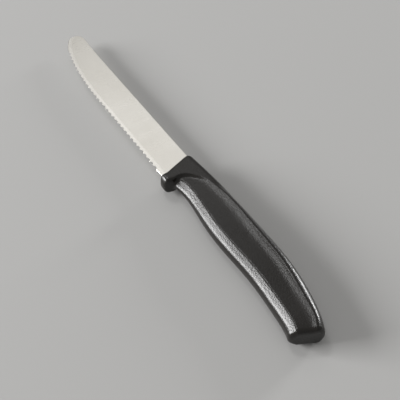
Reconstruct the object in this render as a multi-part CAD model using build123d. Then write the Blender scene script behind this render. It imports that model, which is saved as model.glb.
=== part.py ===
from build123d import *
import os
from math import cos, radians, sin, tan

# Tomato knife with a round tip, a wavy edge and a moulded handle, in millimetres.
# It lies on its side: tip towards +X, cutting edge towards +Y, back towards -Y, left side up.
# The pieces are first drawn in the blade's own frame and then set down on the table.
# In that frame X is zero where the blade's back leaves the handle, Y is zero on the back of
# the blade, and Z is zero in the middle of the sheet, which is the middle of the handle too.

overrun = 1.0                  # how far a cutting tool runs past the face it cuts

# Blade: one flat sheet, with its tang hidden in the handle
blade_length = 110.0           # from the handle's front to the tip, along the back
blade_width = 16.7             # from the back to the straight stretch of the edge
blade_thickness = 1.0
nose_lift = 0.6                # the back rises this much towards the tip
nose_lift_run = 20.0           # length of that rise, behind the round tip
nose_radius = 4.7              # round tip, from the back to the foremost point
sweep_length = 50.0            # the edge curves up to the tip over this length
arris_rounding = 0.2           # along the back and the tip

# Wavy edge: arched hollows ground from the right side, with a pointed tooth between two,
# and a shallow relief along the edge on the left side
tooth_pitch = 3.06
hollow_count = 32
tooth_depth = 0.95             # from a tooth's point to the top of the arch
tooth_set = 0.1                # the points lie this much inside the plain edge
first_tooth = 7.3              # from the handle to the first point, along the edge
grind_angle = 30.0             # between the ground hollow and the blade's side
relief_width = 2.2
relief_depth = 0.12            # at the plain edge
relief_turn = 60.0             # the relief follows this much of the sweep's quarter ellipse

# Tang
shoulder_depth = 2.0           # full blade width inside the handle's front
tang_length = 72.0             # from the handle's front
tang_width = 9.5
tang_end_width = 6.5
tang_drop = 2.8                # from the back of the blade to the back of the tang
tang_end_drop = 3.6            # the same, at the tang's end
tang_corner = 1.5
tang_hole = 4.5
hole_shares = (0.26, 0.555, 0.85)   # places along the tang that the plastic fills and grips

# Bolster: flat thick front of the handle, with the finger guard below the blade's edge
bolster_thickness = 9.4
front_slope = 16.6             # the front leans, with its back corner nearest the tip
back_set = -0.3                # the handle's back corner stands out past the blade's back
guard_depth = 2.9              # from the plain edge down to the guard's bottom
guard_nose = 1.4               # the guard bulges this much past the leaning front
guard_length = 4.9             # bottom of the guard, before its corners are rounded
guard_rise = 1.7               # the bulge starts this much above the plain edge
guard_blend = 1.7              # rounding where the front runs into the bulge
guard_corner = 2.2
heel_corner = 1.6
front_rounding = 1.4           # rim of the front and the guard
guard_lobe = 3.6               # the guard's bottom is round like the end of an ellipse this deep
lobe_spare = 0.5               # the ellipse is this much thicker than the bolster, on each side
back_rounding = 2.5            # rim of the bolster's back
step_rounding = 0.6            # rim of the step down to the grip

# Grip: the rest of the handle, on an axis that runs straight back and then droops
axis_drop = 6.0                # from the back of the blade to the axis
axis_straight = 60.0
axis_radius = 200.0            # droop towards the cutting side
grip_start = 6.0               # inside the bolster
grip_end = 109.4
end_lean = 12.0                # the blunt end droops this much more than the axis
grip_back = 9.1                # widest reach from the axis to the back
grip_belly = 10.9              # widest reach from the axis to the belly
grip_half_thickness = 6.2      # at the crest between the side panel and the rounded back
back_band = 4.6                # widest rounded band between the crest and the back
belly_band = 3.5               # flattened band between the panel's brow and the belly
belly_slope = 40.0             # the band falls away from the brow at this angle
slope_share = 0.75             # and keeps that slope over this much of its width
panel_hollow = 1.2             # the panel lies this much below the crest
dish_share = 0.4               # this much of the panel's width curves up to the crest
end_rounding = 2.0             # rim of the blunt end

# Sections from the grip's start to its end: place along the grip, back, belly, half thickness,
# back band and hollow, each as a share of the size with that name
station_shares = (
    (0.00, 0.68, 1.08, 0.46, 0.80, 0.10),
    (0.09, 0.78, 0.79, 0.71, 0.76, 0.50),
    (0.175, 0.87, 0.80, 0.82, 0.72, 0.70),
    (0.29, 0.945, 0.93, 0.92, 0.64, 0.80),
    (0.43, 0.98, 1.00, 0.98, 0.79, 0.90),
    (0.565, 1.00, 0.965, 1.00, 0.91, 0.95),
    (0.72, 1.00, 0.91, 1.00, 1.00, 0.90),
    (0.86, 0.90, 0.86, 0.98, 0.97, 0.70),
    (1.00, 0.62, 0.90, 0.93, 1.00, 0.50),
)
# Top edge of the step from the bolster down to the grip, from the guard to its far end:
# place behind the guard as a share of the step's length, and drop as a share of the blade's width
step_length = 43.0
step_shares = (
    (0.030, 0.90),
    (0.019, 0.79),
    (0.020, 0.63),
    (0.056, 0.467),
    (0.118, 0.32),
    (0.20, 0.20),
    (0.343, 0.12),
    (0.54, 0.10),
    (1.00, 0.10),
)
# Back edge of the bolster, which sinks into the rounded back of the grip, in the same shares
bolster_back_shares = (
    (1.00, -0.095),
    (0.60, -0.14),
    (0.25, -0.115),
    (0.00, -0.065),
)


def front_at(drop):
    """Place of the handle's leaning front at a drop below the blade's back."""
    return -drop * tan(radians(front_slope))


def blade_edge(turn=90.0):
    """The plain edge as one path, from the handle's front up the sweep to the tip."""
    nose_drop = nose_radius - nose_lift
    sweep_start = blade_length - sweep_length
    straight = Line((front_at(blade_width), blade_width), (sweep_start, blade_width))
    sweep_up = EllipticalCenterArc(
        (sweep_start, nose_drop), sweep_length, blade_width - nose_drop, 90, arc_size=-turn
    )
    return Wire([straight, sweep_up])


def blade_blank():
    """Outline of the stamped sheet: exposed blade, shoulders and tang."""
    heel = front_at(blade_width) - shoulder_depth
    nose_start = blade_length - nose_radius
    lift_start = nose_start - nose_lift_run
    back = Line((-shoulder_depth, 0), (lift_start, 0))
    lift = TangentArc((lift_start, 0), (nose_start, -nose_lift), tangent=(1, 0))
    nose = CenterArc((nose_start, nose_radius - nose_lift), nose_radius, -90, 90)
    bottom = Line((front_at(blade_width), blade_width), (heel, blade_width))
    shoulder = Line((heel, blade_width), (-shoulder_depth, 0))
    exposed = make_face([back, lift, nose, *blade_edge().edges(), bottom, shoulder])
    tang = make_face(
        FilletPolyline(
            (0, tang_drop),
            (-tang_length, tang_end_drop),
            (-tang_length, tang_end_drop + tang_end_width),
            (0, tang_drop + tang_width),
            radius=tang_corner,
            close=True,
        )
    )
    holes = [
        Pos(-share * tang_length, tang_drop + tang_width / 2) * Circle(tang_hole / 2)
        for share in hole_shares
    ]
    return exposed + tang - holes


def grinding_tools():
    """Tilted round tools, one for each hollow of the wavy edge."""
    tilt = radians(grind_angle)
    sagitta = tooth_depth * sin(tilt)
    wheel = ((tooth_pitch / 2) ** 2 + sagitta**2) / (2 * sagitta)
    length = blade_thickness / sin(tilt) + 2 * wheel / tan(tilt) + 2 * overrun
    left_side = Vector(0, 0, blade_thickness / 2 - relief_depth)
    path = blade_edge()
    tools = []
    for number in range(hollow_count):
        along = first_tooth + (number + 0.5) * tooth_pitch
        spot = path.position_at(along, position_mode=PositionMode.LENGTH)
        ahead = path.tangent_at(along, position_mode=PositionMode.LENGTH)
        inward = Vector(ahead.Y, -ahead.X, 0)
        axis = inward * cos(tilt) - Vector(0, 0, 1) * sin(tilt)
        depth = tooth_set + tooth_depth - wheel / sin(tilt)
        centre = spot + inward * depth + left_side
        tools.append(Plane(centre, x_dir=ahead, z_dir=axis) * Cylinder(wheel, length))
    return tools


def relief_tool():
    """Thin wedge along the edge that runs out of the blade at the nose."""
    edge = blade_edge(relief_turn)
    leave = Line(edge @ 1, edge @ 1 + (edge % 1) * nose_radius * 2)
    enter = Line(edge @ 0 - (edge % 0) * shoulder_depth, edge @ 0)
    slope = relief_depth / relief_width
    face = blade_thickness / 2
    wedge = Polyline(
        (relief_width + overrun, face + slope * overrun),
        (-overrun, face - relief_depth - slope * overrun),
        (-overrun, face + overrun),
        (relief_width + overrun, face + overrun),
        close=True,
    )
    start = Plane(enter @ 0, x_dir=(0, -1, 0), z_dir=(1, 0, 0))
    return sweep(start * make_face(wedge), path=Wire([enter, *edge.edges(), leave]))


def make_blade():
    """Stainless sheet with its wavy edge."""
    sheet = extrude(blade_blank(), blade_thickness / 2, both=True)
    outer = [
        edge
        for edge in sheet.edges().filter_by(Plane.XY)
        if edge.center().X > 0 and edge.center().Y < nose_radius
    ]
    sheet = fillet(outer, arris_rounding)
    return sheet - relief_tool() - grinding_tools()


def axis_plane(station):
    """Plane across the grip's axis: local x towards the cutting side, local y upwards."""
    turn = max(0.0, station - axis_straight) / axis_radius
    origin = (
        -min(station, axis_straight) - axis_radius * sin(turn),
        axis_drop + axis_radius * (1 - cos(turn)),
        0,
    )
    lean = turn + radians(end_lean) * (station / grip_end) ** 6
    return Plane(origin, x_dir=(sin(lean), cos(lean), 0), z_dir=(cos(lean), -sin(lean), 0))


def grip_section(shares):
    """One section of the grip: rounded back, crest, dished panel, brow and flattened belly."""
    place, back, belly, thickness, band, hollow = shares
    back_x = -back * grip_back
    belly_x = belly * grip_belly
    crest = Vector(back_x + band * back_band, thickness * grip_half_thickness)
    brow = Vector(belly_x - belly_band, crest.Y - hollow * panel_hollow)
    dish = Vector(crest.X + dish_share * (brow.X - crest.X), brow.Y)
    reach = slope_share * belly_band
    slope_end = brow + Vector(reach, -reach * tan(radians(belly_slope)))
    upper = [
        EllipticalCenterArc((crest.X, 0), crest.X - back_x, crest.Y, 90, arc_size=90),
        TangentArc(dish, crest, tangent=(-1, 0)),
        Line(brow, dish),
        Bezier((belly_x, 0), (belly_x, slope_end.Y), slope_end, brow),
    ]
    lower = [mirror(edge, Plane.XZ) for edge in upper]
    station = grip_start + place * (grip_end - grip_start)
    return axis_plane(station) * make_face(upper + lower)


def make_grip():
    """Rounded grip from the bolster to the blunt end."""
    grip = loft([grip_section(shares) for shares in station_shares])
    end = grip.faces().sort_by(Axis.X)[0]
    return fillet(end.edges(), end_rounding)


def rims(slab):
    """Edges round the two flat sides of a slab."""
    flat_sides = slab.faces().filter_by(Axis.Z)
    return flat_sides.edges()


def guard_envelope():
    """Long bar across the bolster, with an elliptic end that makes the guard's bottom round."""
    half = bolster_thickness / 2 + lobe_spare
    start = blade_width + guard_depth - guard_lobe
    bar = Pos(start - blade_width, 0) * Rectangle(2 * blade_width, 2 * half)
    end = Pos(start, 0) * Ellipse(guard_lobe, half)
    return extrude(Plane.YZ * (bar + end), 2 * step_length, both=True)


def make_bolster():
    """Flat thick front with the finger guard, the step to the grip and a wedge along the back."""
    guard_low = blade_width + guard_depth
    guard_front = front_at(guard_low) + guard_nose
    guard_back = guard_front - guard_length
    step = [(guard_back - place * step_length, drop * blade_width) for place, drop in step_shares]
    back = [
        (guard_back - place * step_length, drop * blade_width)
        for place, drop in bolster_back_shares
    ]
    front_corner = (front_at(back_set), back_set)
    front = FilletPolyline(
        front_corner,
        (front_at(blade_width - guard_rise), blade_width - guard_rise),
        (guard_front, guard_low),
        (guard_back, guard_low),
        step[0],
        radius=(guard_blend, guard_corner, heel_corner),
    )
    outline = [*front.edges(), Spline(step), Line(step[-1], back[0]), Spline(*back, front_corner)]
    slab = extrude(make_face(outline), bolster_thickness / 2, both=True)
    slab = fillet([edge for edge in rims(slab) if edge.center().X > -step_length / 3], front_rounding)
    long_rims = [edge for edge in rims(slab) if edge.length > step_length / 2]
    slab = fillet([edge for edge in long_rims if edge.center().Y < 0], back_rounding)
    long_rims = [edge for edge in rims(slab) if edge.length > step_length / 2]
    slab = fillet([edge for edge in long_rims if edge.center().Y > 0], step_rounding)
    return slab & guard_envelope()


def make_handle(blade):
    """Handle moulded round the tang and the blade's shoulders."""
    return make_grip() + make_bolster() - blade


blade = make_blade()
handle = make_handle(blade)
box = Compound([blade, handle]).bounding_box()
to_table = Pos(-box.center().X, -box.center().Y, -box.min.Z)

os.makedirs("parts", exist_ok=True)
export_step(to_table * blade, "parts/blade.step")
export_step(to_table * handle, "parts/handle.step")
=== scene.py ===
from math import pi, radians, tan

import bmesh
import bpy
import numpy as np
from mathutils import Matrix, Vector


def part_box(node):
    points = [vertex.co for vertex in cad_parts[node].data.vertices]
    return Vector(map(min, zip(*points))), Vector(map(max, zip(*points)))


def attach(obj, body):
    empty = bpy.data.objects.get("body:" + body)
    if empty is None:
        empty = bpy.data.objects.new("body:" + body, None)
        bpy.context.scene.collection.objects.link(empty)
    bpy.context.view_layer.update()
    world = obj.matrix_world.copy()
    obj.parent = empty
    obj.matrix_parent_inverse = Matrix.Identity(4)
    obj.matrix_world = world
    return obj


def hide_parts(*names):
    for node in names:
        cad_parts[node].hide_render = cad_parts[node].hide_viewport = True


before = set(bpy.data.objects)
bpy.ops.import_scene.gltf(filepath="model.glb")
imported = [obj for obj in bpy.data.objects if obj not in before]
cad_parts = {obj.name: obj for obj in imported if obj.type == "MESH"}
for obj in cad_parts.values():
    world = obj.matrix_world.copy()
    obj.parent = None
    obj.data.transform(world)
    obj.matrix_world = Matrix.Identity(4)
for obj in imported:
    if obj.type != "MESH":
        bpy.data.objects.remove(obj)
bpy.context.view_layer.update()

# Tomato knife lying on its side: tip towards +X, cutting edge towards +Y, back towards -Y.
# Every length here is in metres, in the same frame as the solids.

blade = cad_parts["blade"]
cad_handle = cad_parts["handle"]

# The blade's sizes, and the handle's leaning front, where the blade comes out of it
exposed_length = 0.110
blade_width = 0.0167
sweep_length = 0.050           # the edge curves up to the tip over this length
nose_depth = 0.0041            # from the blade's back to where the edge ends
front_slope = 16.6             # in degrees
blade_low, blade_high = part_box("blade")
mid_sheet = (blade_low[2] + blade_high[2]) / 2
front_x = blade_high[0] - exposed_length
sweep_start_x = blade_high[0] - sweep_length
back_y = blade_high[1] - blade_width
front_point = Vector((front_x, back_y, mid_sheet))
front_normal = Vector((1.0, tan(radians(front_slope)), 0.0)).normalized()

# The handle's skin: its mesh, where along X or Y each zone fades in, and how softly it is worn
same_place = 1e-6
voxel = 0.0003
grip_fade_x = (-0.024, -0.040)
front_fade_x = (-0.008, -0.004)
guard_fade_x = (-0.014, -0.008)
guard_fade_y = (0.002, 0.006)
pull = 0.5                     # share of the way to its neighbours that a point moves in a pass
sharp_passes = 2
soft_passes = 3
grip_passes = 1
front_passes = 14
guard_passes = 10
hollow_passes = 40
hollow_spread = 4
hollow_shift = 0.00001         # a point pulled outwards by this much is in a hollow corner
worn_shift = 0.00005           # a point moved by this much is on an edge that hands polish


# Moulded handle: one smooth skin over the solid, with softened edges

def plug_of_blade():
    """The part of the blade inside the handle, closed at the handle's front."""
    plug = bmesh.new()
    plug.from_mesh(blade.data)
    bmesh.ops.remove_doubles(plug, verts=plug.verts, dist=same_place)
    every = plug.verts[:] + plug.edges[:] + plug.faces[:]
    cut = bmesh.ops.bisect_plane(
        plug, geom=every, plane_co=front_point, plane_no=front_normal, clear_outer=True
    )
    rim = [item for item in cut["geom_cut"] if isinstance(item, bmesh.types.BMEdge)]
    bmesh.ops.holes_fill(plug, edges=rim)
    return plug


def closed_handle(name):
    """Handle and plug in one mesh, so that the skin has no slot inside it."""
    both = plug_of_blade()
    both.from_mesh(cad_handle.data)
    mesh = bpy.data.meshes.new(name)
    both.to_mesh(mesh)
    both.free()
    return mesh


def relax(points, edges, amount, passes):
    """Moves each point towards the mean of its neighbours by its own amount, several times."""
    first, second = edges[:, 0], edges[:, 1]
    count = np.bincount(edges.ravel(), minlength=len(points))[:, None]
    for _ in range(passes):
        total = np.empty_like(points)
        for axis in range(3):
            column = points[:, axis]
            total[:, axis] = np.bincount(first, column[second], len(points))
            total[:, axis] += np.bincount(second, column[first], len(points))
        points = points + amount * (total / count - points)
    return points


def span(values, start, end):
    """Rises from 0 at the start to 1 at the end, and stays there."""
    return np.clip((values - start) / (end - start), 0, 1)


def directions(mesh):
    """The outward direction at each point of a mesh."""
    normals = np.empty(len(mesh.vertices) * 3)
    mesh.vertex_normals.foreach_get("vector", normals)
    return normals.reshape(-1, 3)


def even_skin(piece, name):
    """Closed mesh of even small faces over a piece, put in place of the piece's own mesh."""
    remesh = piece.modifiers.new("even", "REMESH")
    remesh.mode = "VOXEL"
    remesh.voxel_size = voxel
    depsgraph = bpy.context.evaluated_depsgraph_get()
    skin = bpy.data.meshes.new_from_object(piece.evaluated_get(depsgraph))
    piece.modifiers.clear()
    piece.data = skin
    skin.name = name
    return skin


def moulded_handle():
    """Even fine mesh over the handle, with its edges softened as a mould softens them."""
    name = "moulded_handle"
    piece = bpy.data.objects.new(name, closed_handle(name))
    bpy.context.collection.objects.link(piece)
    skin = even_skin(piece, name)

    points = np.empty(len(skin.vertices) * 3)
    skin.vertices.foreach_get("co", points)
    points = points.reshape(-1, 3)
    edges = np.empty(len(skin.edges) * 2, dtype=np.int32)
    skin.edges.foreach_get("vertices", edges)
    edges = edges.reshape(-1, 2)

    # Every edge is softened first, and shift is how far that moved each point
    grip = span(points[:, 0], *grip_fade_x)
    guard = span(points[:, 0], *guard_fade_x) * span(points[:, 1], *guard_fade_y)
    front = span(points[:, 0], *front_fade_x)
    sharp = relax(points, edges, pull, sharp_passes)
    soft = relax(sharp, edges, pull, soft_passes)
    shift = soft - sharp

    # Softer still on the grip, at the front, round the guard and in the hollow corners
    outward = np.einsum("ij,ij->i", shift, directions(skin))
    hollow = np.clip(outward / hollow_shift, 0, 1)[:, None] * np.ones(3)
    hollow = relax(hollow, edges, pull, hollow_spread)[:, 0]
    final = relax(soft, edges, pull * grip[:, None], grip_passes)
    final = relax(final, edges, pull * np.clip(front + guard, 0, 1)[:, None], front_passes)
    final = relax(final, edges, pull * guard[:, None], guard_passes)
    final = relax(final, edges, pull * np.clip(hollow * 2, 0, 1)[:, None], hollow_passes)
    skin.vertices.foreach_set("co", final.ravel())

    worn = np.clip(np.linalg.norm(shift, axis=1) / worn_shift, 0, 1)
    skin.attributes.new("worn", "FLOAT", "POINT").data.foreach_set("value", worn)
    skin.polygons.foreach_set("use_smooth", np.ones(len(skin.polygons), dtype=bool))
    skin.update()
    return piece


# Materials

def new_material(name):
    """Empty material, with its node tree and its shader."""
    material = bpy.data.materials.new(name)
    material.use_nodes = True
    tree = material.node_tree
    return material, tree, tree.nodes["Principled BSDF"]


def add(tree, kind, **values):
    """Adds a node and sets its properties and its inputs by name."""
    node = tree.nodes.new(kind)
    for name, value in values.items():
        if hasattr(node, name):
            setattr(node, name, value)
        else:
            node.inputs[name].default_value = value
    return node


def stretched(tree, scale):
    """Places on the object in metres, scaled by its own number along each axis."""
    place = add(tree, "ShaderNodeTexCoord")
    mapping = add(tree, "ShaderNodeMapping", Scale=scale)
    tree.links.new(place.outputs["Object"], mapping.inputs["Vector"])
    return mapping.outputs["Vector"]


def position(tree):
    """Place on the object in metres, with its three numbers apart."""
    place = add(tree, "ShaderNodeSeparateXYZ")
    tree.links.new(stretched(tree, (1.0, 1.0, 1.0)), place.inputs[0])
    return place.outputs


def noise(tree, scale, detail):
    """Noise from 0 to 1, with as many lumps to a metre along each axis as scale says."""
    node = add(tree, "ShaderNodeTexNoise", Scale=1.0, Detail=detail)
    tree.links.new(stretched(tree, scale), node.inputs["Vector"])
    return node.outputs["Fac"]


def ranged(tree, value, low, high, new_low, new_high):
    """Maps low..high to new_low..new_high and stops there."""
    node = add(tree, "ShaderNodeMapRange")
    for name, number in (
        ("From Min", low),
        ("From Max", high),
        ("To Min", new_low),
        ("To Max", new_high),
    ):
        node.inputs[name].default_value = number
    tree.links.new(value, node.inputs["Value"])
    return node.outputs["Result"]


def maths(tree, operation, one, two=0.0):
    """One sum of two values, or of one, each a number or a socket."""
    node = add(tree, "ShaderNodeMath", operation=operation)
    for socket, value in zip(node.inputs, (one, two)):
        if isinstance(value, (int, float)):
            socket.default_value = value
        else:
            tree.links.new(value, socket)
    return node.outputs[0]


def black_plastic():
    """Black moulded plastic: fine eroded grain, hand polish on the edges, a parting line."""
    colour = (0.009, 0.0076, 0.0062, 1.0)
    fine_lumps = (4600.0, 4600.0, 4600.0)
    coarse_lumps = (1900.0, 1900.0, 1900.0)
    cloud_lumps = (60.0, 60.0, 60.0)
    roughness = (0.27, 0.33)
    polished_by = 0.05
    speckled_by = 0.05
    fine_share = 0.4
    grain_height = 0.000055
    parting_half_width = 0.00012
    parting_height = 0.00005

    material, tree, shader = new_material("black_plastic")
    shader.inputs["Base Color"].default_value = colour
    shader.inputs["Specular IOR Level"].default_value = 0.48
    worn = add(tree, "ShaderNodeAttribute", attribute_name="worn").outputs["Fac"]

    fine = noise(tree, fine_lumps, 1.0)
    coarse = noise(tree, coarse_lumps, 0.0)
    cloudy = noise(tree, cloud_lumps, 4.0)

    base = ranged(tree, cloudy, 0.3, 0.7, *roughness)
    polish = maths(tree, "MULTIPLY", worn, polished_by)
    speckle = ranged(tree, fine, 0.3, 0.7, -speckled_by, speckled_by)
    rough = maths(tree, "ADD", maths(tree, "SUBTRACT", base, polish), speckle)
    tree.links.new(rough, shader.inputs["Roughness"])

    grain = maths(tree, "ADD", maths(tree, "MULTIPLY", fine, fine_share), coarse)
    eroded = add(tree, "ShaderNodeBump", Strength=1.0, Distance=grain_height)
    tree.links.new(grain, eroded.inputs["Height"])

    above_parting = maths(tree, "SUBTRACT", position(tree)["Z"], mid_sheet)
    off_parting = maths(tree, "ABSOLUTE", above_parting)
    ridge = ranged(tree, off_parting, 0.0, parting_half_width, 1.0, 0.0)
    parting = add(tree, "ShaderNodeBump", Strength=0.6, Distance=parting_height)
    tree.links.new(ridge, parting.inputs["Height"])
    tree.links.new(eroded.outputs["Normal"], parting.inputs["Normal"])
    tree.links.new(parting.outputs["Normal"], shader.inputs["Normal"])
    return material


def depth_from_edge(tree):
    """How far inside the plain edge a place on the blade lies."""
    place = position(tree)
    past_straight = maths(tree, "SUBTRACT", place["X"], sweep_start_x)
    turn = maths(tree, "MAXIMUM", maths(tree, "DIVIDE", past_straight, sweep_length))
    level = maths(tree, "SUBTRACT", 1.0, maths(tree, "MULTIPLY", turn, turn))
    height = maths(tree, "SQRT", maths(tree, "MAXIMUM", level))
    sweep_width = maths(tree, "MULTIPLY", height, blade_width - nose_depth)
    edge_y = maths(tree, "ADD", sweep_width, back_y + nose_depth)
    return maths(tree, "SUBTRACT", edge_y, place["Y"])


def satin_steel():
    """Satin stainless sheet, ground in fine lines across the blade."""
    dull_tint = (0.745, 0.72, 0.665, 1.0)
    bright_tint = (0.86, 0.84, 0.79, 1.0)
    line_lumps = (7000.0, 260.0, 900.0)
    broad_lumps = (420.0, 30.0, 60.0)
    cloud_lumps = (35.0, 50.0, 50.0)
    band_fade = (0.0019, 0.0025)
    # How much lighter the edge band is tinted: a painted sheen, not the steel's own colour
    band_sheen_brightness = 0.5
    cloud_brightness = 0.45
    line_roughness = (0.27, 0.31)
    broad_roughness = (-0.01, 0.02)
    band_polish = 0.05
    line_height = 0.00001

    material, tree, shader = new_material("satin_steel")
    shader.inputs["Metallic"].default_value = 1.0
    lines = noise(tree, line_lumps, 2.0)
    broad = noise(tree, broad_lumps, 2.0)
    cloudy = noise(tree, cloud_lumps, 3.0)
    # Band along the cutting edge: real ground steel, polished smoother, and also tinted lighter,
    # which is a painted sheen
    ground_band_and_sheen = ranged(tree, depth_from_edge(tree), *band_fade, 1.0, 0.0)

    tint = add(tree, "ShaderNodeMix", data_type="RGBA")
    tint.inputs["A"].default_value = dull_tint
    tint.inputs["B"].default_value = bright_tint
    cloud_share = ranged(tree, cloudy, 0.35, 0.65, 0.0, cloud_brightness)
    band_sheen_share = maths(tree, "MULTIPLY", ground_band_and_sheen, band_sheen_brightness)
    tree.links.new(maths(tree, "ADD", cloud_share, band_sheen_share), tint.inputs["Factor"])
    tree.links.new(tint.outputs["Result"], shader.inputs["Base Color"])

    line_rough = ranged(tree, lines, 0.3, 0.7, *line_roughness)
    broad_rough = ranged(tree, broad, 0.3, 0.7, *broad_roughness)
    rough = maths(tree, "ADD", line_rough, broad_rough)
    polish = maths(tree, "MULTIPLY", ground_band_and_sheen, band_polish)
    tree.links.new(maths(tree, "SUBTRACT", rough, polish), shader.inputs["Roughness"])
    ground = add(tree, "ShaderNodeBump", Strength=0.09, Distance=line_height)
    tree.links.new(lines, ground.inputs["Height"])
    tree.links.new(ground.outputs["Normal"], shader.inputs["Normal"])
    return material


def pale_floor():
    """Plain pale matt floor."""
    material, _, shader = new_material("pale_floor")
    shader.inputs["Base Color"].default_value = (0.45, 0.448, 0.442, 1.0)
    shader.inputs["Roughness"].default_value = 0.9
    return material


# Dress the part

handle = moulded_handle()
handle.data.materials.append(black_plastic())
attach(handle, "root")
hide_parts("handle")

steel = satin_steel()
for slot in blade.material_slots:
    slot.material = steel

# Floor, lights and world

floor_width = 40.0
world_colour = (1.0, 0.99, 0.97, 1.0)
world_strength = 0.31

bpy.ops.mesh.primitive_plane_add(size=floor_width, location=(0, 0, 0))
floor = bpy.context.object
floor.name = "floor"
floor.data.materials.append(pale_floor())


def softbox(name, place, target_x, width, height, radiance):
    """Soft rectangular lamp that faces a point on the X axis, given by how bright its face is."""
    lamp = bpy.data.lights.new(name, "AREA")
    lamp.shape = "RECTANGLE"
    lamp.size = width
    lamp.size_y = height
    lamp.energy = radiance * width * height * pi
    holder = bpy.data.objects.new(name, lamp)
    bpy.context.collection.objects.link(holder)
    towards = Vector((target_x, 0.0, 0.0)) - Vector(place)
    holder.location = place
    holder.rotation_euler = towards.to_track_quat("-Z", "Y").to_euler()


# The blade and the handle's side panel mirror this one
softbox("ceiling", (1.98, -1.125, 2.40), 0.03, width=1.10, height=1.10, radiance=0.75)
# Bright strip along the belly
softbox("window", (1.405, 2.079, 0.84), -0.05, width=1.40, height=1.00, radiance=24.0)
# Sheen along the crest between the panel and the rounded back
softbox("crest", (1.645, 0.147, 2.829), -0.05, width=0.90, height=0.60, radiance=8.5)
# Bright rim along the back near the blunt end
softbox("low", (0.36, -2.17, 0.36), -0.10, width=0.44, height=0.66, radiance=30.0)

world = bpy.data.worlds.new("studio")
bpy.context.scene.world = world
world.use_nodes = True
sky = world.node_tree.nodes["Background"]
sky.inputs["Color"].default_value = world_colour
sky.inputs["Strength"].default_value = world_strength

# Camera, where it stood for the photograph

camera_place = (-0.22570, 0.13425, 0.29435)
camera_turn = (40.0, 0.0, -123.405)    # in degrees
sensor_width = 36.0                    # in millimetres, as the lens is
lens = 74.54
nearest = 0.01

camera = bpy.data.objects.new("camera", bpy.data.cameras.new("camera"))
bpy.context.collection.objects.link(camera)
camera.data.sensor_width = sensor_width
camera.data.lens = lens
camera.data.clip_start = nearest
camera.location = camera_place
camera.rotation_euler = [radians(angle) for angle in camera_turn]
bpy.context.scene.camera = camera

bpy.context.scene.view_settings.view_transform = "Standard"
